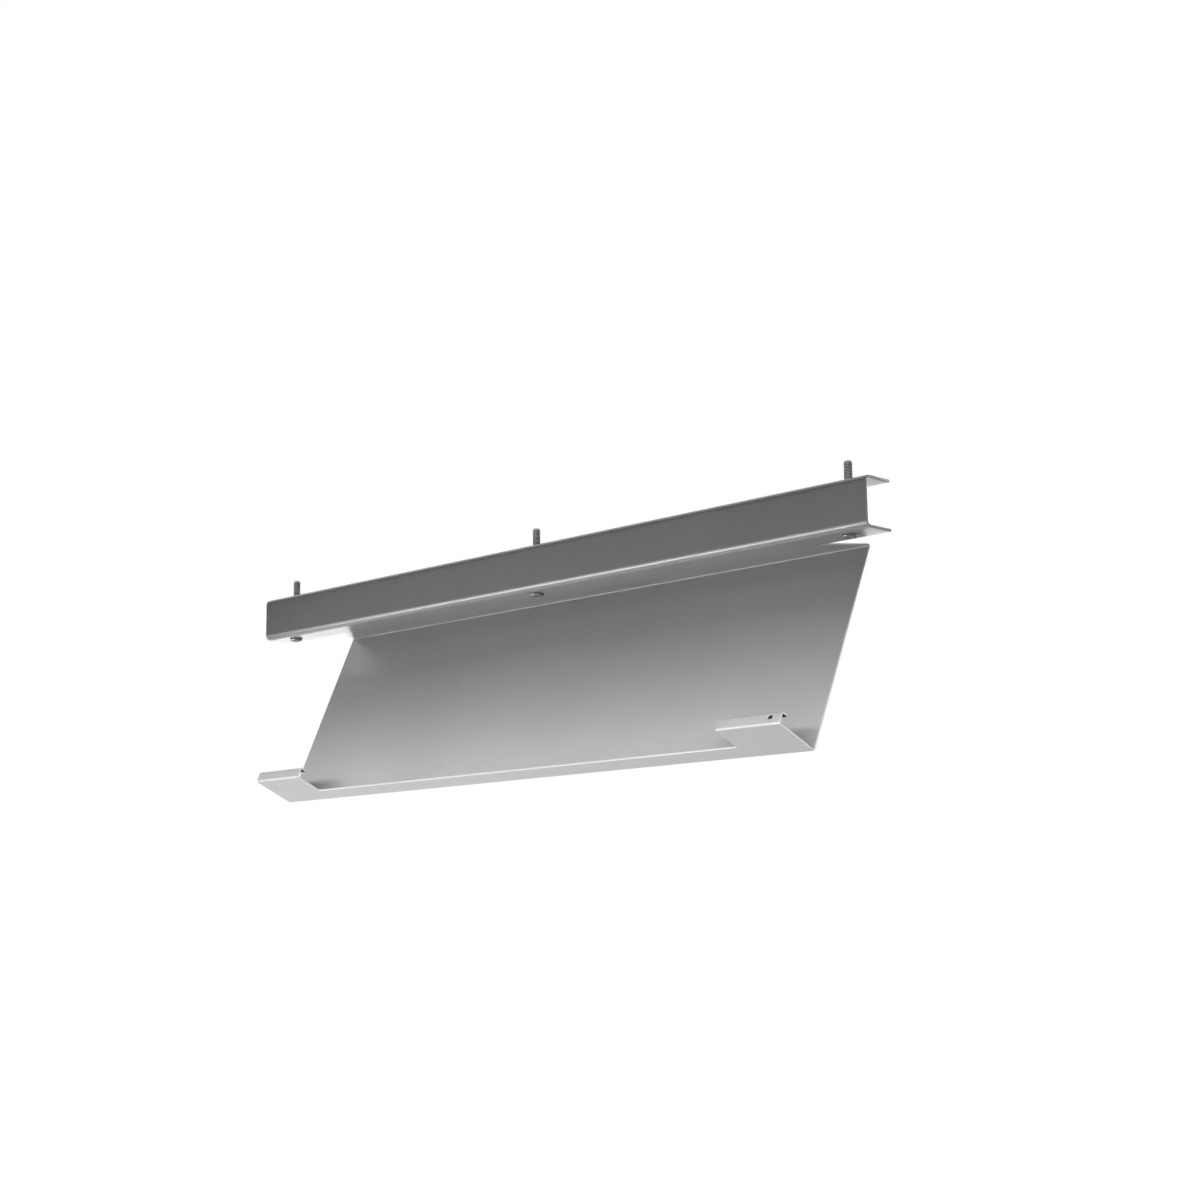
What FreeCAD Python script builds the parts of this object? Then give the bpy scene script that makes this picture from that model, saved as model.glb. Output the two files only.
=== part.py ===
import FreeCAD, Part
import math
import os

from FreeCAD import Vector

# Under desk cable tray, hooked into the rear cross rail of a desk frame. Units are mm.
# +X runs along the rail, +Y towards the back of the desk, +Z up.
# The origin is the axis of the middle screw, on the rail's top face, which meets the tabletop.

# Cross rail: a folded steel channel, open to the back.
RAIL_LENGTH = 650.0
RAIL_HEIGHT = 35.0
RAIL_THICKNESS = 2.0
RAIL_BEND_RADIUS = 2.5
RAIL_FRONT_Y = -14.0
RAIL_REAR_Y = 12.5
SCREW_HOLE_RADIUS = 3.3

# Screws that hold the rail under the tabletop, and the sleeves that keep the channel from closing.
SCREW_PITCH = 300.0
SHANK_RADIUS = 2.65
THREAD_RADIUS = 3.0
THREAD_START_Z = 0.5
SCREW_TIP_Z = 15.0
TIP_CHAMFER = 1.0
HEAD_RADIUS = 5.25
HEAD_HEIGHT = 2.3
HEAD_RIM = 0.4
HEAD_FLAT_RADIUS = 2.9
SOCKET_ACROSS_FLATS = 4.0
SOCKET_DEPTH = 1.7
SLEEVE_RADIUS = 5.0
SLEEVE_BORE_RADIUS = 3.2

# Cable tray: one folded sheet. Depths are measured over the outside of the bends.
TRAY_LENGTH = 560.0
SHEET = 1.25
BEND_RADIUS = 0.6
HOOK_GAP = 0.05
HOOK_FRONT_Y = -9.0
FOLD_Y = 46.0
LEAN_DEG = 24.5
PANEL_DEPTH = 158.0
STRIP_DEPTH = 14.5
TAB_DEPTH = 38.5
TAB_WIDTH = 55.0
LIP_HEIGHT = 9.2
HEM_DEPTH = 6.0
HOOK_INSET = 26.0
HOOK_CUT_Y = 14.0
NOTCH_RADIUS = 7.0
LIP_HOLE_RADIUS = 2.4
LIP_HOLE_HEIGHT = 4.9
LIP_HOLE_FROM_END = 9.5

SCREW_XS = (-SCREW_PITCH, 0.0, SCREW_PITCH)
HOOK_UNDER_Z = -RAIL_HEIGHT + RAIL_THICKNESS + HOOK_GAP


def section_point(y, z):
    return Vector(0, y, z)


def inward(direction):
    """The normal of a run of sheet, on the inner side of its bends."""
    return Vector(0, direction.z, -direction.y)


def end_cap(inner, outer, along, rounded):
    """The cut edge of the sheet, from its inner to its outer surface."""
    if not rounded:
        return Part.LineSegment(inner, outer).toShape()
    middle = (inner + outer) * 0.5
    bulge = middle + along * ((outer - inner).Length / 2)
    return Part.Arc(inner, bulge, outer).toShape()


def sheet_section(corners, thickness, radius, rounded_ends):
    """A folded sheet's cross-section, from the sharp corners of its inner surface."""
    runs = []
    for first, second in zip(corners, corners[1:]):
        runs.append((second - first).normalize())
    inner_edges = []
    outer_edges = []
    inner_from = corners[0]
    outer_from = corners[0] - inward(runs[0]) * thickness
    start = (inner_from, outer_from)
    for corner, before, after in zip(corners[1:-1], runs, runs[1:]):
        setback = radius * math.tan(before.getAngle(after) / 2)
        bend_start = corner - before * setback
        bend_end = corner + after * setback
        centre = bend_start + inward(before) * radius
        half_way = (inward(before) + inward(after)).normalize()
        outer_start = centre - inward(before) * (radius + thickness)
        outer_end = centre - inward(after) * (radius + thickness)
        inner_middle = centre - half_way * radius
        outer_middle = centre - half_way * (radius + thickness)
        inner_edges.append(Part.LineSegment(inner_from, bend_start).toShape())
        inner_edges.append(Part.Arc(bend_start, inner_middle, bend_end).toShape())
        outer_edges.append(Part.LineSegment(outer_from, outer_start).toShape())
        outer_edges.append(Part.Arc(outer_start, outer_middle, outer_end).toShape())
        inner_from = bend_end
        outer_from = outer_end
    inner_to = corners[-1]
    outer_to = corners[-1] - inward(runs[-1]) * thickness
    inner_edges.append(Part.LineSegment(inner_from, inner_to).toShape())
    outer_edges.append(Part.LineSegment(outer_from, outer_to).toShape())
    edges = inner_edges + outer_edges
    edges.append(end_cap(start[0], start[1], -runs[0], rounded_ends))
    edges.append(end_cap(inner_to, outer_to, runs[-1], rounded_ends))
    return Part.Face(Part.Wire(Part.__sortEdges__(edges)))


def along_x(section, start, end):
    placed = section.copy()
    placed.translate(Vector(start, 0, 0))
    return placed.extrude(Vector(end - start, 0, 0))


def upright_hole(x, radius, low, high):
    return Part.makeCylinder(radius, high - low, Vector(x, 0, low))


def support_rail():
    """The channel: its web faces the front and both flanges point to the back."""
    inside_front = RAIL_FRONT_Y + RAIL_THICKNESS
    flange_end = RAIL_REAR_Y - RAIL_THICKNESS / 2
    corners = [
        section_point(flange_end, -RAIL_HEIGHT + RAIL_THICKNESS),
        section_point(inside_front, -RAIL_HEIGHT + RAIL_THICKNESS),
        section_point(inside_front, -RAIL_THICKNESS),
        section_point(flange_end, -RAIL_THICKNESS),
    ]
    section = sheet_section(corners, RAIL_THICKNESS, RAIL_BEND_RADIUS, True)
    rail = along_x(section, -RAIL_LENGTH / 2, RAIL_LENGTH / 2)
    for x in SCREW_XS:
        rail = rail.cut(upright_hole(x, SCREW_HOLE_RADIUS, -RAIL_HEIGHT - 1, 1))
    return rail


def screw(x):
    """A low button head screw with a hexagon socket, pointing up."""
    seat = -RAIL_HEIGHT
    face = seat - HEAD_HEIGHT
    rim = seat - HEAD_RIM
    dome_middle = Vector(HEAD_RADIUS - 0.75, 0, seat - 0.72 * HEAD_HEIGHT)
    outline = [
        Vector(HEAD_RADIUS, 0, rim),
        Vector(HEAD_RADIUS, 0, seat),
        Vector(SHANK_RADIUS, 0, seat),
        Vector(SHANK_RADIUS, 0, THREAD_START_Z),
        Vector(THREAD_RADIUS, 0, THREAD_START_Z),
        Vector(THREAD_RADIUS, 0, SCREW_TIP_Z - TIP_CHAMFER),
        Vector(THREAD_RADIUS - TIP_CHAMFER, 0, SCREW_TIP_Z),
        Vector(0, 0, SCREW_TIP_Z),
        Vector(0, 0, face),
        Vector(HEAD_FLAT_RADIUS, 0, face),
    ]
    edges = []
    for first, second in zip(outline, outline[1:]):
        edges.append(Part.LineSegment(first, second).toShape())
    edges.append(Part.Arc(outline[-1], dome_middle, outline[0]).toShape())
    half = Part.Face(Part.Wire(Part.__sortEdges__(edges)))
    body = half.revolve(Vector(0, 0, 0), Vector(0, 0, 1), 360)
    body = body.cut(hexagon_socket(face))
    body.translate(Vector(x, 0, 0))
    return body


def hexagon_socket(face):
    corner_radius = SOCKET_ACROSS_FLATS / math.sqrt(3)
    points = []
    for step in range(7):
        angle = math.radians(60 * step + 15)
        points.append(Vector(corner_radius * math.cos(angle), corner_radius * math.sin(angle), face))
    return Part.Face(Part.makePolygon(points)).extrude(Vector(0, 0, SOCKET_DEPTH))


def sleeve(x):
    """A tube round one screw, standing between the rail's flanges."""
    low = -RAIL_HEIGHT + RAIL_THICKNESS
    tube = upright_hole(x, SLEEVE_RADIUS, low, -RAIL_THICKNESS)
    return tube.cut(upright_hole(x, SLEEVE_BORE_RADIUS, low - 1, 0))


def panel_down():
    """The direction of the leaning panel, from its upper fold to its lower fold."""
    lean = math.radians(LEAN_DEG)
    return section_point(-math.sin(lean), -math.cos(lean))


def floor_forward():
    """The direction of the tray's floor, from the lower fold to its front edge."""
    lean = math.radians(LEAN_DEG)
    return section_point(-math.cos(lean), math.sin(lean))


def lower_fold():
    """The sharp corner of the sheet's inner surface where the panel meets the floor."""
    upper_fold = section_point(FOLD_Y, HOOK_UNDER_Z)
    return upper_fold + panel_down() * (PANEL_DEPTH - SHEET)


def lip_front():
    """The sharp corner of the sheet's inner surface where the floor meets the lip."""
    return lower_fold() + floor_forward() * (TAB_DEPTH - 2 * SHEET)


def long_sheet():
    """Hook flange, panel and floor strip, which run the whole length."""
    corners = [
        section_point(HOOK_FRONT_Y, HOOK_UNDER_Z),
        section_point(FOLD_Y, HOOK_UNDER_Z),
        lower_fold(),
        lower_fold() + floor_forward() * (STRIP_DEPTH - SHEET),
    ]
    section = sheet_section(corners, SHEET, BEND_RADIUS, False)
    return along_x(section, -TRAY_LENGTH / 2, TRAY_LENGTH / 2)


def end_tab(start, end):
    """One wide end of the floor, with its lip turned up and hemmed back."""
    lip_top = lip_front() - panel_down() * (LIP_HEIGHT - 2 * SHEET)
    corners = [
        lower_fold() + floor_forward() * (STRIP_DEPTH - SHEET),
        lip_front(),
        lip_top,
        lip_top - floor_forward() * (HEM_DEPTH - SHEET),
    ]
    section = sheet_section(corners, SHEET, BEND_RADIUS, False)
    return along_x(section, start, end)


def hook_corner(side):
    """The waste cut off one end of the hook flange."""
    low = HOOK_UNDER_Z - 0.5
    end = side * TRAY_LENGTH / 2
    inset = end - side * HOOK_INSET
    past = end + side * 1.0
    corners = [
        Vector(inset, HOOK_FRONT_Y - 1, low),
        Vector(past, HOOK_FRONT_Y - 1, low),
        Vector(past, FOLD_Y - 1, low),
        Vector(end, FOLD_Y - 1, low),
        Vector(inset, HOOK_CUT_Y, low),
        Vector(inset, HOOK_FRONT_Y - 1, low),
    ]
    return Part.Face(Part.makePolygon(corners)).extrude(Vector(0, 0, SHEET + 1))


def centre_notch():
    """The slot that lets the hook flange in past the middle sleeve."""
    low = HOOK_UNDER_Z - 0.5
    height = SHEET + 1
    length = NOTCH_RADIUS - HOOK_FRONT_Y
    mouth = Part.makeBox(2 * NOTCH_RADIUS, length, height, Vector(-NOTCH_RADIUS, -length, low))
    return mouth.fuse(Part.makeCylinder(NOTCH_RADIUS, height, Vector(0, 0, low)))


def lip_hole():
    """The round hole near the outer end of the right lip."""
    middle = lip_front() - panel_down() * (LIP_HOLE_HEIGHT - SHEET)
    start = middle - floor_forward() * 2
    start.x = TRAY_LENGTH / 2 - LIP_HOLE_FROM_END
    return Part.makeCylinder(LIP_HOLE_RADIUS, 4 + SHEET, start, floor_forward())


def cable_tray():
    """The tray: hook flange, leaning panel, narrow floor and two hemmed end tabs."""
    half = TRAY_LENGTH / 2
    tray = long_sheet()
    tray = tray.fuse(end_tab(-half, -half + TAB_WIDTH))
    tray = tray.fuse(end_tab(half - TAB_WIDTH, half))
    tray = tray.removeSplitter()
    tray = tray.cut(hook_corner(-1))
    tray = tray.cut(hook_corner(1))
    tray = tray.cut(centre_notch())
    return tray.cut(lip_hole())


def group(shapes):
    return Part.makeCompound(shapes)


def export(name, shape):
    for solid in shape.Solids:
        centre = solid.CenterOfMass
        print(name, solid.isValid(), round(solid.Volume, 1), centre)
    shape.exportStep("parts/" + name + ".step")


os.makedirs("parts", exist_ok=True)
export("support_rail", support_rail())
export("cable_tray", cable_tray())
export("fixing_screws", group([screw(x) for x in SCREW_XS]))
export("centre_sleeve", sleeve(0.0))
export("end_sleeves", group([sleeve(-SCREW_PITCH), sleeve(SCREW_PITCH)]))
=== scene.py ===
"""Under desk cable tray on its rail: the looks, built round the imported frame.

The parts' lengths are in mm until they are placed. The studio's are in metres.
"""

import math
from collections import namedtuple

import bmesh
import bpy
from mathutils import Matrix, Vector

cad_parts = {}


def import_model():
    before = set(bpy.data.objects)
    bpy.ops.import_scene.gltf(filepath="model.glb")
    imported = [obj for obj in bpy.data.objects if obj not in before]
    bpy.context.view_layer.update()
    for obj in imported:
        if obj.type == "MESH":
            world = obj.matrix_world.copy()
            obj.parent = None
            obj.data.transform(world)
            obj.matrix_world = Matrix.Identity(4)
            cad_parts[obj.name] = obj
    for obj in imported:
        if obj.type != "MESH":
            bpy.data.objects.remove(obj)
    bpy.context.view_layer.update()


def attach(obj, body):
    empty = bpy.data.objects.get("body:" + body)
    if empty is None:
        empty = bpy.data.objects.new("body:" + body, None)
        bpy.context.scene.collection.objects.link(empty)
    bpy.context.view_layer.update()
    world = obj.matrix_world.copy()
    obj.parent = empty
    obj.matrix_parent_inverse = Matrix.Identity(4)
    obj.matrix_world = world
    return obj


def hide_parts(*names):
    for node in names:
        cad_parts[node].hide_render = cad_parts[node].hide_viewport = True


MM = 0.001

# Cable tray, the same shape as the CAD node. Depths are measured over the outside of the bends.
SHEET = 1.25
BEND_RADIUS = 0.6
TRAY_HALF = 280.0
HOOK_FRONT_Y = -9.0
HOOK_UNDER_Z = -32.95
FOLD_Y = 46.0
LEAN = math.radians(24.5)
PANEL_DEPTH = 158.0
STRIP_DEPTH = 14.5
TAB_DEPTH = 38.5
TAB_WIDTH = 55.0
LIP_HEIGHT = 9.2
HEM_DEPTH = 6.0
HOOK_INSET = 26.0
HOOK_CUT_Y = 14.0
HOOK_CUT_BEFORE_FOLD = 1.0
NOTCH_RADIUS = 7.0
LIP_HOLE_RADIUS = 2.4
LIP_HOLE_HEIGHT = 4.9
LIP_HOLE_FROM_END = 9.5
TRAY_EDGE_ROUNDING = 0.22

# How far the tray's outline is rounded at its corners
HOOK_CORNER = 1.0
NOTCH_MOUTH_CORNER = 0.5
NOTCH_END_CORNER = NOTCH_RADIUS - 0.01
CUT_CORNER = 1.5
PANEL_CORNER = 1.0
TAB_CORNER = 0.6
STRIP_CORNER = 0.5
TRAY_CORNER_STEPS = 8

# Rail
RAIL_HALF = 325.0
RAIL_HEIGHT = 35.0
RAIL_THICKNESS = 2.0
RAIL_BEND_RADIUS = 2.5
RAIL_FRONT_Y = -14.0
RAIL_REAR_Y = 12.5
RAIL_HOLE_RADIUS = 3.3
RAIL_EDGE_ROUNDING = 0.95
RAIL_CORNER = 1.2
RAIL_CORNER_STEPS = 4

# Screws and sleeves
SCREW_XS = {"left": -300.0, "centre": 0.0, "right": 300.0}
SHANK_RADIUS = 2.65
THREAD_RADIUS = 3.0
THREAD_ROOT = 2.45
THREAD_PITCH = 1.0
THREAD_START_Z = 0.5
THREAD_FADE = 1.2
THREAD_STEEPNESS = 1.25
THREAD_ROOT_FLAT = 0.06
THREAD_ROWS_PER_TURN = 14
SHANK_TAPER = 0.3
SCREW_TIP_Z = 15.0
TIP_CHAMFER = 0.3
TIP_INSET = 0.35
TIP_FACE_RADIUS = 0.6
HEAD_RADIUS = 5.25
HEAD_HEIGHT = 2.3
HEAD_FLAT_RADIUS = 2.9
HEAD_RIM = 0.4
HEAD_RIM_EDGE = 0.12
HEAD_RIM_INSET = 0.1
HEAD_FILLET = 0.2
HEAD_STEPS = 10
HEAD_FULLNESS = 0.9
SOCKET_APOTHEM = 2.0
SOCKET_DEPTH = 1.7
SOCKET_CHAMFER = 0.12
SOCKET_MOUTH = 0.15
SOCKET_CONE_RADIUS = 1.5
SOCKET_POINT_RADIUS = 0.25
SOCKET_POINT_DEPTH = 0.45
SLEEVE_RADIUS = 5.0
SLEEVE_BORE = 3.2
SLEEVE_CHAMFER = 0.3
SLEEVE_CHAMFER_BULGE = (0.08, 0.1)
TURNED_STEPS = 48

# How finely the folded sheets are meshed
BEND_STEP_DEG = 9.0
LEAST_BEND_STEPS = 4
EDGE_STEPS = 3
TRAY_HOLE_STEPS = 40
RAIL_HOLE_STEPS = 48
NEARLY_STRAIGHT = math.radians(88)
SAME_PLACE = 1e-6
CUT_TOLERANCE = 1e-4
CUT_DISTANCE = 1e-5
NORMALS_BY_AREA = 100

# The flat runs among a folded path's pieces, where every other piece is a bend
FLOOR, LIP, HEM = 4, 6, 8
RAIL_TOP = 4

# A folded sheet's material slots. The cut edges' slot takes a lighter coat, a painted highlight, and the slot
# inside the hem takes near black, painted shade.
OUTER_COAT, CUT_EDGE_HIGHLIGHT, PAINTED_HEM_SHADE = 0, 1, 2

# Studio
ROOM_LIGHT = 0.03
FLOOR_Z = -0.8
FLOOR_HALF = 30.0
FLOOR_GLOW = 0.9
FAR_GLOW = 2.5
FAR_GLOW_FROM, FAR_GLOW_TO = 2.5, 5.0
LIGHT_DISTANCE = 6.0
LIGHT_TARGET = (0.0, 0.0, -0.1)

# Lamps round the tray: turn from +X and rise in degrees, width, height, brightness
SOFTBOXES = {
    "front_softbox": (-90, 10.5, 7.0, 0.7, 11.7),
    "upper_softbox": (-90, 17.5, 7.0, 0.8, 10.8),
    "left_softbox": (-146, 8, 4.6, 1.2, 0.7),
    "right_softbox": (-40, 8, 4.0, 1.2, 14.0),
    "side_softbox": (22, 10, 4.0, 2.5, 1.0),
    "back_softbox": (100, 14, 6.0, 1.6, 3.5),
}

# Lamps near the floor that face up: place, width, depth, brightness
UNDER_SOFTBOX = ((-0.7, 0.1, -0.78), 1.8, 1.0, 0.8)
GLINT_SOFTBOX = ((-1.0, -0.95, -0.76), 1.2, 0.6, 11.0)

# Boards in the place of the desk: two opposite corners, and whether reflections show them
BOARDS = {
    "shade_top": ((-1.2, -0.6, 0.004), (1.2, -0.016, 0.004), True),
    "shade_front": ((-1.2, -0.17, -0.035), (1.2, -0.17, 0.004), True),
    "shade_left": ((-0.35, -0.2, -0.09), (-0.35, 0.1, 0.004), False),
    "shade_right": ((0.4, -0.03, -0.11), (0.4, 0.25, 0.004), False),
}

# Camera
SENSOR_WIDTH = 36.0
LENS = 63.21
CAMERA_PLACE = (1.142, -1.077, -0.308)
CAMERA_TURN_DEG = 44.94
CAMERA_RISE_DEG = 9.68
CAMERA_ROLL_DEG = -0.62
CAMERA_REACH = 100.0

# Nearly all of a noise texture's values lie in MIDDLE.
MIDDLE = (0.3, 0.7)
WHOLE = (0.0, 1.0)


# Folded sheet: a flat pattern in (x, s), where s runs along the sheet across its bends, is cut out, given its
# thickness and rounded edges, and then folded.


Piece = namedtuple("Piece", "kind low high origin run radius turn")


class FoldedPath:
    """The runs of flat sheet and the bends between them, from the sharp corners of the sheet's inner surface."""

    def __init__(self, corners, thickness, radii):
        self.thickness = thickness
        self.pieces = []
        runs = [(b - a).normalized() for a, b in zip(corners, corners[1:])]
        start, s = corners[0], 0.0
        for i, (corner, run) in enumerate(zip(corners[1:], runs)):
            if i == len(runs) - 1:
                self.pieces.append(Piece("flat", s, s + (corner - start).length, start, run, 0.0, 0.0))
                break
            turn = run.angle(runs[i + 1])
            setback = radii[i] * math.tan(turn / 2)
            bend_start = corner - run * setback
            flat_end = s + (bend_start - start).length
            self.pieces.append(Piece("flat", s, flat_end, start, run, 0.0, 0.0))
            bend_end = flat_end + (radii[i] + thickness / 2) * turn
            centre = bend_start + self.inward(run) * radii[i]
            self.pieces.append(Piece("bend", flat_end, bend_end, centre, run, radii[i], turn))
            start, s = corner + runs[i + 1] * setback, bend_end

    @staticmethod
    def inward(run):
        """The normal of a run of sheet, on the inner side of its bends."""
        return Vector((run.y, -run.x))

    def end_of(self, index):
        return self.pieces[index].high

    def start_of(self, index):
        return self.pieces[index].low

    def place(self, s, depth):
        """(y, z) of a point s along the sheet and depth out from its inner surface."""
        piece = next((piece for piece in self.pieces if s <= piece.high), self.pieces[-1])
        normal = self.inward(piece.run)
        if piece.kind == "flat":
            return piece.origin + piece.run * (s - piece.low) - normal * depth
        angle = piece.turn * (s - piece.low) / (piece.high - piece.low)
        turned = Vector((
            normal.x * math.cos(angle) + normal.y * math.sin(angle),
            -normal.x * math.sin(angle) + normal.y * math.cos(angle),
        ))
        return piece.origin - turned * (piece.radius + depth)

    def cuts(self):
        """The places along s where the flat pattern needs a line of vertices."""
        places = []
        for piece in self.pieces:
            if piece.kind == "bend":
                steps = max(LEAST_BEND_STEPS, math.ceil(math.degrees(piece.turn) / BEND_STEP_DEG))
                places += [piece.low + (piece.high - piece.low) * i / steps for i in range(steps + 1)]
        return places


def rounded(points, radii, steps):
    """A polygon's points, anticlockwise, with each corner rounded by its own radius."""
    result = []
    count = len(points)
    for i, corner in enumerate(points):
        corner = Vector(corner)
        to_last = (Vector(points[i - 1]) - corner).normalized()
        to_next = (Vector(points[(i + 1) % count]) - corner).normalized()
        radius = radii[i]
        half = to_last.angle(to_next) / 2
        if half > NEARLY_STRAIGHT:
            result.append(corner)
            continue
        setback = radius / math.tan(half)
        centre = corner + (to_last + to_next).normalized() * (radius / math.sin(half))
        first = corner + to_last * setback - centre
        last = corner + to_next * setback - centre
        sweep = first.angle_signed(last)
        for step in range(steps + 1):
            angle = -sweep * step / steps
            turned = Vector((
                first.x * math.cos(angle) - first.y * math.sin(angle),
                first.x * math.sin(angle) + first.y * math.cos(angle),
            ))
            result.append(centre + turned)
    return result


def circle(x, s, radius, steps):
    """A hole's points, clockwise."""
    angles = [-math.tau * i / steps for i in range(steps)]
    return [Vector((x + radius * math.cos(angle), s + radius * math.sin(angle))) for angle in angles]


def inset(points, distance):
    """Each point moved into the sheet by distance, measured square to its edges."""
    moved = []
    count = len(points)
    for i, point in enumerate(points):
        before = (point - points[i - 1]).normalized()
        after = (points[(i + 1) % count] - point).normalized()
        first = Vector((-before.y, before.x))
        second = Vector((-after.y, after.x))
        share = 1 + first.dot(second)
        moved.append(point + (first + second) * (distance / share))
    return moved


def edge_inset(depth, thickness, radius):
    """How far a rounded edge lies back at a depth through the sheet."""
    near = min(depth, thickness - depth)
    if near >= radius:
        return 0.0
    return radius - math.sqrt(max(0.0, radius ** 2 - (radius - near) ** 2))


def edge_levels(thickness, radius):
    """The depths through the sheet at which its rounded edges have a row of vertices."""
    levels = []
    for step in range(EDGE_STEPS + 1):
        levels.append(radius * (1 - math.cos(math.pi / 2 * step / EDGE_STEPS)))
    upper = [thickness - level for level in reversed(levels)]
    if upper[0] - levels[-1] < SAME_PLACE:
        upper = upper[1:]
    return levels + upper


def folded_sheet(name, path, outline, holes, edge_radius, hem_shade_s=None):
    """A folded sheet as a mesh object. The inner surface past the given place along s takes the near-black slot,
    painted shade inside the hem.
    """
    mesh = bmesh.new()
    levels = edge_levels(path.thickness, edge_radius)
    rings = []
    for loop in [outline] + holes:
        rows = []
        for depth in levels:
            points = inset(loop, edge_inset(depth, path.thickness, edge_radius))
            rows.append([mesh.verts.new((p.x, p.y, depth)) for p in points])
        rings.append(rows)
    # The rounded cut edges take the lighter coat, a painted highlight.
    for rows in rings:
        count = len(rows[0])
        for low, high in zip(rows, rows[1:]):
            for i in range(count):
                j = (i + 1) % count
                face = mesh.faces.new((low[i], low[j], high[j], high[i]))
                face.material_index = CUT_EDGE_HIGHLIGHT
    for level in (0, -1):
        edges = []
        for rows in rings:
            row = rows[level]
            for i, vert in enumerate(row):
                edges.append(mesh.edges.get((vert, row[(i + 1) % len(row)])))
        filled = bmesh.ops.triangle_fill(mesh, use_beauty=True, use_dissolve=False, edges=edges)
        for item in filled["geom"]:
            if isinstance(item, bmesh.types.BMFace):
                item.material_index = OUTER_COAT
    for s in path.cuts():
        everything = mesh.verts[:] + mesh.edges[:] + mesh.faces[:]
        bmesh.ops.bisect_plane(mesh, geom=everything, dist=CUT_DISTANCE, plane_co=(0, s, 0), plane_no=(0, 1, 0))
    bmesh.ops.recalc_face_normals(mesh, faces=mesh.faces[:])
    # Painted shade: the inner surface inside the hem goes near black.
    if hem_shade_s is not None:
        for face in mesh.faces:
            if all(vert.co.z < SAME_PLACE and vert.co.y > hem_shade_s - CUT_TOLERANCE for vert in face.verts):
                face.material_index = PAINTED_HEM_SHADE
    for vert in mesh.verts:
        x, s, depth = vert.co
        y, z = path.place(s, depth)
        vert.co = Vector((x, y, z)) * MM
    bmesh.ops.recalc_face_normals(mesh, faces=mesh.faces[:])
    return mesh_object(name, mesh)


def mesh_object(name, mesh):
    """The finished mesh as a smooth object with its normals weighted by face area."""
    for face in mesh.faces:
        face.smooth = True
    data = bpy.data.meshes.new(name)
    mesh.to_mesh(data)
    mesh.free()
    made = bpy.data.objects.new(name, data)
    bpy.context.scene.collection.objects.link(made)
    weights = made.modifiers.new("normals", "WEIGHTED_NORMAL")
    weights.mode = "FACE_AREA"
    weights.weight = NORMALS_BY_AREA
    return made


def tray_path():
    """The tray's section: hook flange, panel, floor, lip and hem."""
    down = Vector((-math.sin(LEAN), -math.cos(LEAN)))
    forward = Vector((-math.cos(LEAN), math.sin(LEAN)))
    upper_fold = Vector((FOLD_Y, HOOK_UNDER_Z))
    lower_fold = upper_fold + down * (PANEL_DEPTH - SHEET)
    lip_foot = lower_fold + forward * (TAB_DEPTH - 2 * SHEET)
    lip_top = lip_foot - down * (LIP_HEIGHT - 2 * SHEET)
    hem_end = lip_top - forward * (HEM_DEPTH - SHEET)
    corners = [Vector((HOOK_FRONT_Y, HOOK_UNDER_Z)), upper_fold, lower_fold, lip_foot, lip_top, hem_end]
    return FoldedPath(corners, SHEET, [BEND_RADIUS] * (len(corners) - 2))


def cable_tray():
    """The tray's one sheet: hook flange, panel, floor strip, end tabs, lips and hems."""
    path = tray_path()
    strip_end = path.start_of(FLOOR) + STRIP_DEPTH - SHEET - BEND_RADIUS
    tab_end = path.end_of(HEM)
    fold = FOLD_Y - HOOK_CUT_BEFORE_FOLD - HOOK_FRONT_Y
    cut = HOOK_CUT_Y - HOOK_FRONT_Y
    notch_end = NOTCH_RADIUS - HOOK_FRONT_Y
    hook_half = TRAY_HALF - HOOK_INSET
    inner = TRAY_HALF - TAB_WIDTH
    corners = [
        (-hook_half, 0.0), (-NOTCH_RADIUS, 0.0), (-NOTCH_RADIUS, notch_end),
        (NOTCH_RADIUS, notch_end), (NOTCH_RADIUS, 0.0), (hook_half, 0.0),
        (hook_half, cut), (TRAY_HALF, fold), (TRAY_HALF, tab_end), (inner, tab_end), (inner, strip_end),
        (-inner, strip_end), (-inner, tab_end), (-TRAY_HALF, tab_end), (-TRAY_HALF, fold), (-hook_half, cut),
    ]
    radii = [
        HOOK_CORNER, NOTCH_MOUTH_CORNER, NOTCH_END_CORNER,
        NOTCH_END_CORNER, NOTCH_MOUTH_CORNER, HOOK_CORNER,
        CUT_CORNER, PANEL_CORNER, TAB_CORNER, TAB_CORNER, STRIP_CORNER,
        STRIP_CORNER, TAB_CORNER, TAB_CORNER, PANEL_CORNER, CUT_CORNER,
    ]
    outline = rounded(corners, radii, TRAY_CORNER_STEPS)
    hole_s = path.start_of(LIP) + LIP_HOLE_HEIGHT - SHEET - BEND_RADIUS
    hole = circle(TRAY_HALF - LIP_HOLE_FROM_END, hole_s, LIP_HOLE_RADIUS, TRAY_HOLE_STEPS)
    return folded_sheet("cable_tray_sheet", path, outline, [hole], TRAY_EDGE_ROUNDING, path.end_of(LIP))


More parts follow.
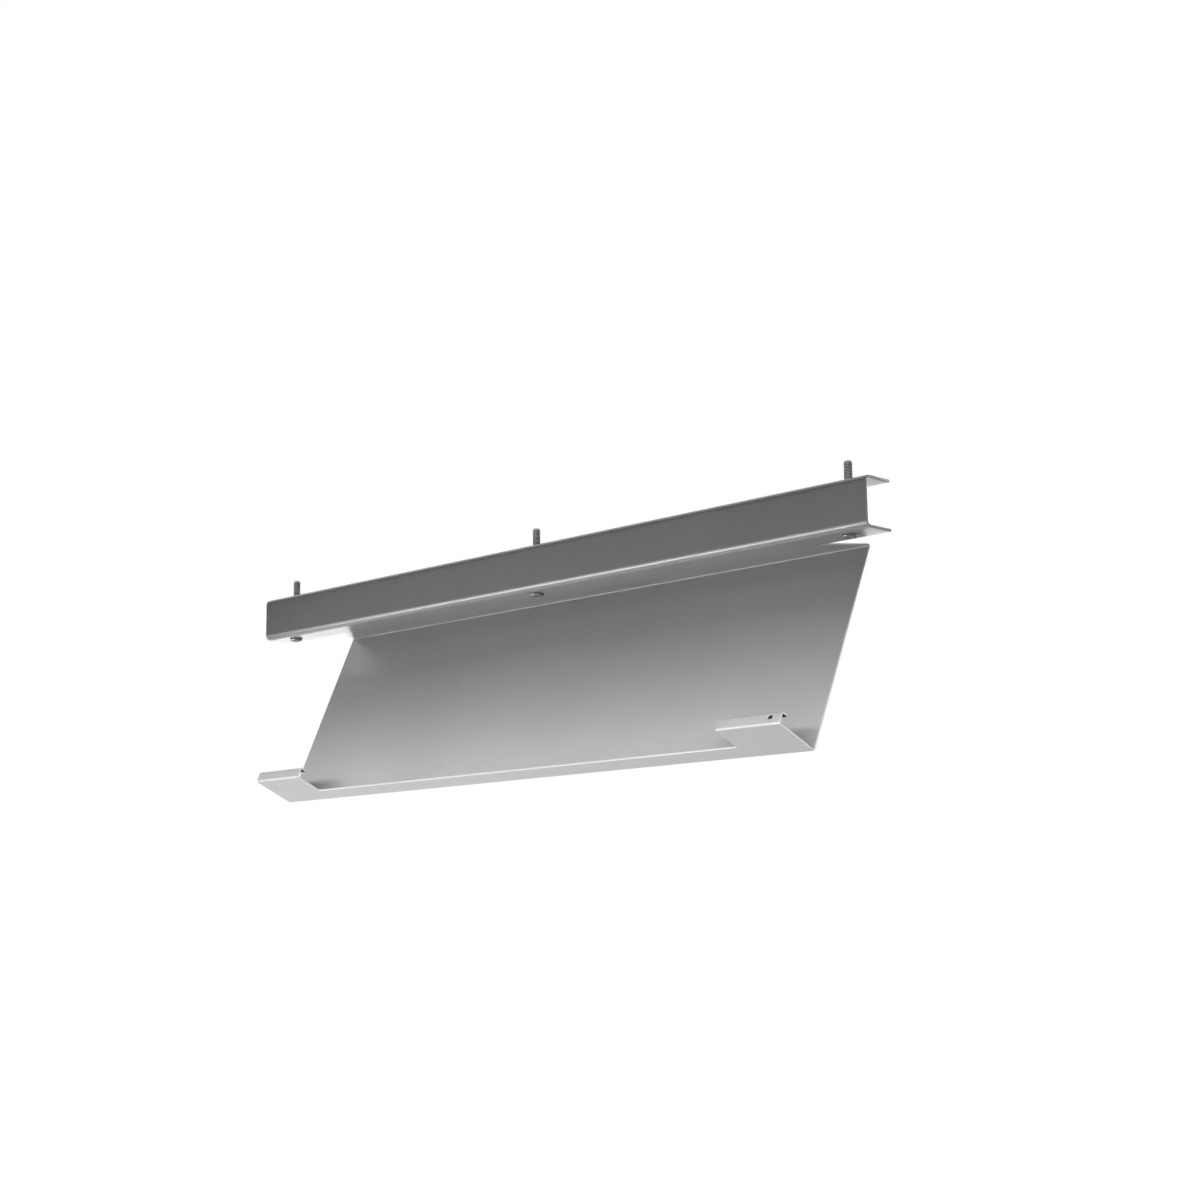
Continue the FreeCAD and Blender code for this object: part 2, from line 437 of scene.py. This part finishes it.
def support_rail():
    """The rail's folded channel, with rounded rear edges and the screws' holes in both flanges."""
    low, high = -RAIL_HEIGHT + RAIL_THICKNESS, -RAIL_THICKNESS
    inside = RAIL_FRONT_Y + RAIL_THICKNESS
    corners = [(RAIL_REAR_Y, low), (inside, low), (inside, high), (RAIL_REAR_Y, high)]
    path = FoldedPath([Vector(corner) for corner in corners], RAIL_THICKNESS, [RAIL_BEND_RADIUS] * 2)
    end = path.end_of(RAIL_TOP)
    corners = [(-RAIL_HALF, 0), (RAIL_HALF, 0), (RAIL_HALF, end), (-RAIL_HALF, end)]
    outline = rounded(corners, [RAIL_CORNER] * 4, RAIL_CORNER_STEPS)
    holes = []
    for x in SCREW_XS.values():
        holes.append(circle(x, RAIL_REAR_Y, RAIL_HOLE_RADIUS, RAIL_HOLE_STEPS))
        holes.append(circle(x, end - RAIL_REAR_Y, RAIL_HOLE_RADIUS, RAIL_HOLE_STEPS))
    return folded_sheet("support_rail_channel", path, outline, holes, RAIL_EDGE_ROUNDING)


# Turned pieces


def lathe(name, x, rows, closed_ends=True):
    """A mesh turned about a vertical axis at x. Each row is a function of the angle that gives (radius, z)."""
    mesh = bmesh.new()
    rings = []
    for row in rows:
        verts = []
        for i in range(TURNED_STEPS):
            angle = math.tau * i / TURNED_STEPS
            radius, z = row(angle)
            verts.append(mesh.verts.new(Vector((radius * math.cos(angle), radius * math.sin(angle), z)) * MM))
        rings.append(verts)
    pairs = list(zip(rings, rings[1:]))
    if not closed_ends:
        pairs.append((rings[-1], rings[0]))
    for low, high in pairs:
        for i in range(TURNED_STEPS):
            j = (i + 1) % TURNED_STEPS
            mesh.faces.new((low[i], low[j], high[j], high[i]))
    if closed_ends:
        mesh.faces.new(rings[0])
        mesh.faces.new(rings[-1])
    bmesh.ops.recalc_face_normals(mesh, faces=mesh.faces[:])
    made = mesh_object(name, mesh)
    made.location.x = x * MM
    return made


def ring(radius, z):
    """A round row."""
    return lambda angle: (radius, z)


def hexagon(apothem, z):
    """A six-sided row."""
    return lambda angle: (apothem / math.cos((angle % (math.pi / 3)) - math.pi / 6), z)


def thread_row(z):
    """One row of a screw thread: a rounded V that climbs one pitch a turn and fades at both ends."""
    room = min(z - THREAD_START_Z, SCREW_TIP_Z - TIP_CHAMFER - z)
    fade = min(1.0, max(0.0, room / THREAD_FADE))

    def row(angle):
        turn = (z / THREAD_PITCH - angle / math.tau) % 1.0
        height = min(1.0, max(0.0, THREAD_STEEPNESS * (1 - abs(2 * turn - 1)) - THREAD_ROOT_FLAT))
        return THREAD_ROOT + (THREAD_RADIUS - THREAD_ROOT) * height * fade, z

    return row


def screw(name, x):
    """Low button head with a hexagon socket, reduced shank and a real helical thread above the rail."""
    seat = -RAIL_HEIGHT
    face = seat - HEAD_HEIGHT
    floor = face + SOCKET_DEPTH
    rows = [
        ring(SOCKET_POINT_RADIUS, floor + SOCKET_POINT_DEPTH), ring(SOCKET_CONE_RADIUS, floor + SOCKET_CHAMFER),
        hexagon(SOCKET_APOTHEM - SOCKET_CHAMFER, floor), hexagon(SOCKET_APOTHEM, floor - SOCKET_CHAMFER),
        hexagon(SOCKET_APOTHEM, face + SOCKET_CHAMFER), hexagon(SOCKET_APOTHEM + SOCKET_MOUTH, face),
        ring(HEAD_FLAT_RADIUS, face),
    ]
    for step in range(1, HEAD_STEPS + 1):
        angle = math.pi / 2 * step / HEAD_STEPS
        radius = HEAD_FLAT_RADIUS + (HEAD_RADIUS - HEAD_FLAT_RADIUS) * math.sin(angle)
        rise = (HEAD_HEIGHT - HEAD_RIM) * (1 - math.cos(angle)) ** HEAD_FULLNESS
        rows.append(ring(radius, face + rise))
    rows += [
        ring(HEAD_RADIUS, seat - HEAD_RIM_EDGE), ring(HEAD_RADIUS - HEAD_RIM_INSET, seat),
        ring(SHANK_RADIUS + HEAD_FILLET, seat), ring(SHANK_RADIUS, seat + HEAD_FILLET),
        ring(SHANK_RADIUS, THREAD_START_Z - SHANK_TAPER), ring(THREAD_ROOT, THREAD_START_Z),
    ]
    length = SCREW_TIP_Z - TIP_CHAMFER - THREAD_START_Z
    count = int(length / THREAD_PITCH * THREAD_ROWS_PER_TURN)
    rows += [thread_row(THREAD_START_Z + length * step / count) for step in range(1, count + 1)]
    rows += [ring(THREAD_ROOT - TIP_INSET, SCREW_TIP_Z), ring(TIP_FACE_RADIUS, SCREW_TIP_Z)]
    return lathe(name, x, rows)


def sleeve(name, x):
    """A turned tube with broken edges."""
    low, high = -RAIL_HEIGHT + RAIL_THICKNESS, -RAIL_THICKNESS
    cut = SLEEVE_CHAMFER
    across, along = SLEEVE_CHAMFER_BULGE
    profile = [
        (SLEEVE_BORE + cut, low), (SLEEVE_RADIUS - cut, low),
        (SLEEVE_RADIUS - across, low + along), (SLEEVE_RADIUS, low + cut),
        (SLEEVE_RADIUS, high - cut), (SLEEVE_RADIUS - across, high - along),
        (SLEEVE_RADIUS - cut, high), (SLEEVE_BORE + cut, high),
        (SLEEVE_BORE, high - cut), (SLEEVE_BORE, low + cut),
    ]
    return lathe(name, x, [ring(radius, z) for radius, z in profile], closed_ends=False)


# Materials


class Nodes:
    """Short calls for building a node tree."""

    def __init__(self, name):
        self.material = bpy.data.materials.new(name)
        self.material.use_nodes = True
        self.tree = self.material.node_tree
        self.tree.nodes.clear()
        self.output = self.add("ShaderNodeOutputMaterial")
        self.coords = self.add("ShaderNodeTexCoord").outputs["Object"]

    def add(self, kind, **values):
        """A new node with some of its settings changed."""
        node = self.tree.nodes.new(kind)
        for key, value in values.items():
            setattr(node, key, value)
        return node

    def link(self, source, target):
        self.tree.links.new(source, target)

    def give(self, value, socket):
        """Sets a socket to a number or a colour, or links it to another node."""
        if isinstance(value, (int, float)):
            socket.default_value = value
        elif isinstance(value, tuple):
            socket.default_value = (*value, 1.0)
        else:
            self.link(value, socket)

    def noise(self, scale, detail, roughness=0.5, stretch=None):
        """Noise over the object, its pattern scaled along each axis by stretch."""
        node = self.add("ShaderNodeTexNoise")
        node.inputs["Scale"].default_value = scale
        node.inputs["Detail"].default_value = detail
        node.inputs["Roughness"].default_value = roughness
        source = self.coords
        if stretch:
            mapping = self.add("ShaderNodeMapping")
            mapping.inputs["Scale"].default_value = stretch
            self.link(source, mapping.inputs["Vector"])
            source = mapping.outputs["Vector"]
        self.link(source, node.inputs["Vector"])
        return node.outputs["Fac"]

    def span(self, source, taken, given):
        """The source's range taken is stretched over the range given, and held at its ends."""
        node = self.add("ShaderNodeMapRange")
        node.inputs["From Min"].default_value, node.inputs["From Max"].default_value = taken
        node.inputs["To Min"].default_value, node.inputs["To Max"].default_value = given
        self.link(source, node.inputs["Value"])
        return node.outputs["Result"]

    def maths(self, operation, first, second):
        node = self.add("ShaderNodeMath", operation=operation)
        for socket, value in zip(node.inputs, (first, second)):
            self.give(value, socket)
        return node.outputs[0]

    def mix_colour(self, factor, first, second):
        """A colour between two. A mix node's colours are its inputs 6 and 7, and its output 2."""
        node = self.add("ShaderNodeMix", data_type="RGBA")
        sockets = (node.inputs[0], node.inputs[6], node.inputs[7])
        for socket, value in zip(sockets, (factor, first, second)):
            self.give(value, socket)
        return node.outputs[2]

    def bump(self, height, distance, strength, under=None):
        """Bumps of a depth in metres, laid over the bumps under them."""
        node = self.add("ShaderNodeBump")
        node.inputs["Distance"].default_value = distance
        node.inputs["Strength"].default_value = strength
        self.link(height, node.inputs["Height"])
        if under is not None:
            self.link(under, node.inputs["Normal"])
        return node.outputs["Normal"]

    def openness(self, reach, taken):
        """0 deep in a hollow, 1 where nothing is near."""
        node = self.add("ShaderNodeAmbientOcclusion")
        node.inputs["Distance"].default_value = reach
        return self.span(node.outputs["AO"], taken, WHOLE)

    def surface(self, **values):
        """The finished material. Each value goes to the shader's input of the same name."""
        shader = self.add("ShaderNodeBsdfPrincipled")
        for key, value in values.items():
            self.give(value, shader.inputs[key.replace("_", " ")])
        self.link(shader.outputs[0], self.output.inputs["Surface"])
        return self.material


def grey(level):
    return level, level, level


def powder_coat(name, level, highlight_lift=0.0):
    """Satin grey powder coat: fine orange peel, tiny metal flakes, faint handling marks and a glossier skin. A
    lift on the lighter tone is a painted highlight.
    """
    n = Nodes(name)
    mottle = n.noise(scale=9.0, detail=3.0, roughness=0.6)
    specks = n.noise(scale=2600.0, detail=1.0)
    smudge = n.noise(scale=26.0, detail=4.0, roughness=0.62, stretch=(1.0, 2.6, 2.6))
    darker = grey(level * 0.965)
    # A lift above the plain lighter tone is a painted highlight, used on the cut edges.
    lighter = grey(min(1.0, level * 1.03 + highlight_lift))
    flake_colour = grey(min(1.0, level * 1.35))
    colour = n.mix_colour(n.span(mottle, MIDDLE, WHOLE), darker, lighter)
    colour = n.mix_colour(n.span(specks, (0.62, 0.72), (0.0, 0.22)), colour, flake_colour)
    smudged = n.span(smudge, (0.35, 0.7), (0.36, 0.43))
    rough = n.maths("ADD", smudged, n.span(specks, MIDDLE, (-0.02, 0.02)))
    peel = n.bump(n.noise(scale=620.0, detail=2.0), distance=0.00004, strength=0.3)
    grain = n.bump(n.noise(scale=2100.0, detail=1.0), distance=0.000012, strength=0.5, under=peel)
    return n.surface(
        Base_Color=colour, Specular_IOR_Level=0.45, Roughness=rough, Normal=grain,
        Coat_Weight=0.7, Coat_Roughness=0.24, Coat_IOR=1.7,
    )


def zinc_plate(name):
    """Bright zinc on a formed screw: slightly cloudy, with fine drawing marks, and darker near other surfaces as
    painted shade.
    """
    n = Nodes(name)
    cloud = n.noise(scale=700.0, detail=3.0, roughness=0.6)
    marks = n.noise(scale=500.0, detail=2.0, stretch=(1.0, 1.0, 9.0))
    colour = n.mix_colour(n.span(cloud, MIDDLE, WHOLE), (0.26, 0.26, 0.263), (0.36, 0.36, 0.363))
    # Painted shade: darker close to other surfaces, round the head's seat and in the socket.
    colour = n.mix_colour(n.openness(reach=0.003, taken=(0.5, 0.97)), grey(0.02), colour)
    return n.surface(
        Base_Color=colour, Metallic=0.75, Roughness=n.span(cloud, MIDDLE, (0.36, 0.48)),
        Normal=n.bump(marks, distance=0.00002, strength=0.5),
    )


def turned_steel(name):
    """Sleeve steel with the fine rings a lathe leaves."""
    n = Nodes(name)
    grooves = n.noise(scale=300.0, detail=1.0, stretch=(0.05, 0.05, 14.0))
    cloud = n.noise(scale=120.0, detail=3.0, roughness=0.6)
    colour = n.mix_colour(n.span(cloud, MIDDLE, WHOLE), (0.36, 0.36, 0.37), (0.52, 0.52, 0.53))
    return n.surface(
        Base_Color=colour, Metallic=1.0, Roughness=n.span(grooves, MIDDLE, (0.25, 0.42)),
        Normal=n.bump(grooves, distance=0.00003, strength=0.6),
    )


def floor_material():
    """Matt and pale, and clear from below. It glows for the camera and, far off, in reflections."""
    n = Nodes("pale_floor")
    cloud = n.noise(scale=0.8, detail=3.0)
    tone = n.mix_colour(n.span(cloud, MIDDLE, WHOLE), grey(0.34), grey(0.36))
    path = n.add("ShaderNodeLightPath").outputs
    distance = n.add("ShaderNodeVectorMath", operation="LENGTH")
    n.link(n.coords, distance.inputs[0])
    far = n.span(distance.outputs["Value"], (FAR_GLOW_FROM, FAR_GLOW_TO), (0.0, FAR_GLOW))
    far_glow = n.maths("MULTIPLY", path["Is Glossy Ray"], far)
    glow = n.maths("ADD", n.maths("MULTIPLY", path["Is Camera Ray"], FLOOR_GLOW), far_glow)
    seen = n.maths("SUBTRACT", 1.0, n.add("ShaderNodeNewGeometry").outputs["Backfacing"])
    return n.surface(
        Base_Color=tone, Roughness=0.9, Alpha=seen, Emission_Color=grey(1.0), Emission_Strength=glow,
    )


def board_material():
    return Nodes("shade_board").surface(Base_Color=grey(0.2), Roughness=0.9)


# Studio


def rectangle(name, first, last, material):
    """A rectangle square to one axis, from two opposite corners."""
    (x0, y0, z0), (x1, y1, z1) = first, last
    if z0 == z1:
        corners = [(x0, y0, z0), (x1, y0, z0), (x1, y1, z0), (x0, y1, z0)]
    else:
        corners = [(x0, y0, z0), (x1, y1, z0), (x1, y1, z1), (x0, y0, z1)]
    data = bpy.data.meshes.new(name)
    data.from_pydata(corners, [], [(0, 1, 2, 3)])
    made = bpy.data.objects.new(name, data)
    bpy.context.scene.collection.objects.link(made)
    data.materials.append(material)
    return made


def studio():
    """The floor, the boards that keep light off as the desk round the real tray does, the sky and the lamps."""
    corner = (FLOOR_HALF, FLOOR_HALF, FLOOR_Z)
    rectangle("floor", (-FLOOR_HALF, -FLOOR_HALF, FLOOR_Z), corner, floor_material())
    material = board_material()
    for name, (first, last, mirrored) in BOARDS.items():
        board = rectangle(name, first, last, material)
        board.visible_camera = False
        board.visible_glossy = mirrored
    sky()
    for name, (turn_deg, rise_deg, width, height, brightness) in SOFTBOXES.items():
        softbox(name, around(turn_deg, rise_deg), width, height, brightness)
    facing_up("under_softbox", *UNDER_SOFTBOX)
    only_reflected(facing_up("glint_softbox", *GLINT_SOFTBOX))


def sky():
    """White all round for the camera and reflections, but it lights the part only faintly."""
    world = bpy.data.worlds.new("studio")
    bpy.context.scene.world = world
    world.use_nodes = True
    tree = world.node_tree
    tree.nodes.clear()
    output = tree.nodes.new("ShaderNodeOutputWorld")
    path = tree.nodes.new("ShaderNodeLightPath")
    dimmed = tree.nodes.new("ShaderNodeMapRange")
    dimmed.inputs["To Min"].default_value = 1.0
    dimmed.inputs["To Max"].default_value = ROOM_LIGHT
    soft = tree.nodes.new("ShaderNodeBackground")
    soft.inputs["Color"].default_value = (1, 1, 1, 1)
    tree.links.new(path.outputs["Is Diffuse Ray"], dimmed.inputs["Value"])
    tree.links.new(dimmed.outputs[0], soft.inputs["Strength"])
    tree.links.new(soft.outputs[0], output.inputs["Surface"])


def around(turn_deg, rise_deg):
    """A place at the lamps' distance from the tray: turned about it from +X, and raised."""
    turn, rise = math.radians(turn_deg), math.radians(rise_deg)
    level = LIGHT_DISTANCE * math.cos(rise)
    return level * math.cos(turn), level * math.sin(turn), LIGHT_DISTANCE * math.sin(rise) + LIGHT_TARGET[2]


def softbox(name, place, width, height, brightness, target=LIGHT_TARGET):
    """A lamp that the camera doesn't see. Its energy grows with its area, so brightness is that of its face."""
    light = bpy.data.lights.new(name, "AREA")
    light.shape = "RECTANGLE"
    light.size, light.size_y = width, height
    light.energy = brightness * math.pi * width * height
    lamp = bpy.data.objects.new(name, light)
    lamp.location = place
    lamp.rotation_euler = (Vector(target) - lamp.location).to_track_quat("-Z", "Y").to_euler()
    lamp.visible_camera = False
    bpy.context.scene.collection.objects.link(lamp)
    return lamp


def facing_up(name, place, width, depth, brightness):
    return softbox(name, place, width, depth, brightness, target=(place[0], place[1], 0.0))


def only_reflected(lamp):
    """The lamp shows in reflections and lights nothing, not even by way of another surface."""
    lamp.visible_diffuse = False
    lamp.data.use_nodes = True
    tree = lamp.data.node_tree
    unscattered = tree.nodes.new("ShaderNodeMath")
    unscattered.operation = "LESS_THAN"
    unscattered.inputs[1].default_value = 0.5
    path = tree.nodes.new("ShaderNodeLightPath")
    tree.links.new(path.outputs["Diffuse Depth"], unscattered.inputs[0])
    tree.links.new(unscattered.outputs[0], tree.nodes["Emission"].inputs["Strength"])


def camera():
    """Below and to the right of the tray, looking up a little."""
    data = bpy.data.cameras.new("camera")
    data.sensor_width = SENSOR_WIDTH
    data.lens = LENS
    data.clip_end = CAMERA_REACH
    made = bpy.data.objects.new("camera", data)
    made.location = CAMERA_PLACE
    turn = Matrix.Rotation(math.radians(CAMERA_TURN_DEG), 4, "Z")
    rise = Matrix.Rotation(math.radians(90 + CAMERA_RISE_DEG), 4, "X")
    roll = Matrix.Rotation(math.radians(CAMERA_ROLL_DEG), 4, "Z")
    made.rotation_euler = (turn @ rise @ roll).to_euler()
    bpy.context.scene.collection.objects.link(made)
    bpy.context.scene.camera = made


def dress(piece, body, node, materials):
    """Gives a piece its materials and its place in the frame."""
    for material in materials:
        piece.data.materials.append(material)
    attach(piece, body)
    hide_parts(node)


def main():
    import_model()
    tray_coat = powder_coat("tray_powder_coat", 0.60)
    rail_coat = powder_coat("rail_powder_coat", 0.57)
    # The cut edges' lighter coats are painted highlight.
    tray_edge_highlight = powder_coat("tray_cut_edge_painted_highlight", 0.86, highlight_lift=0.05)
    rail_edge_highlight = powder_coat("rail_cut_edge_painted_highlight", 0.68)
    # Near black inside the hem: painted shade.
    inside_hem_shade = powder_coat("tray_hem_painted_shade", 0.02)
    zinc = zinc_plate("zinc_plated_steel")
    steel = turned_steel("sleeve_steel")
    dress(support_rail(), "rail", "support_rail", [rail_coat, rail_edge_highlight])
    dress(cable_tray(), "tray", "cable_tray", [tray_coat, tray_edge_highlight, inside_hem_shade])
    for side, x in SCREW_XS.items():
        dress(screw("fixing_screw_" + side, x), "rail", "fixing_screws", [zinc])
        node = "centre_sleeve" if side == "centre" else "end_sleeves"
        dress(sleeve("spacer_sleeve_" + side, x), "rail", node, [steel])
    studio()
    camera()
    bpy.context.scene.view_settings.view_transform = "Standard"
    bpy.context.view_layer.update()


main()
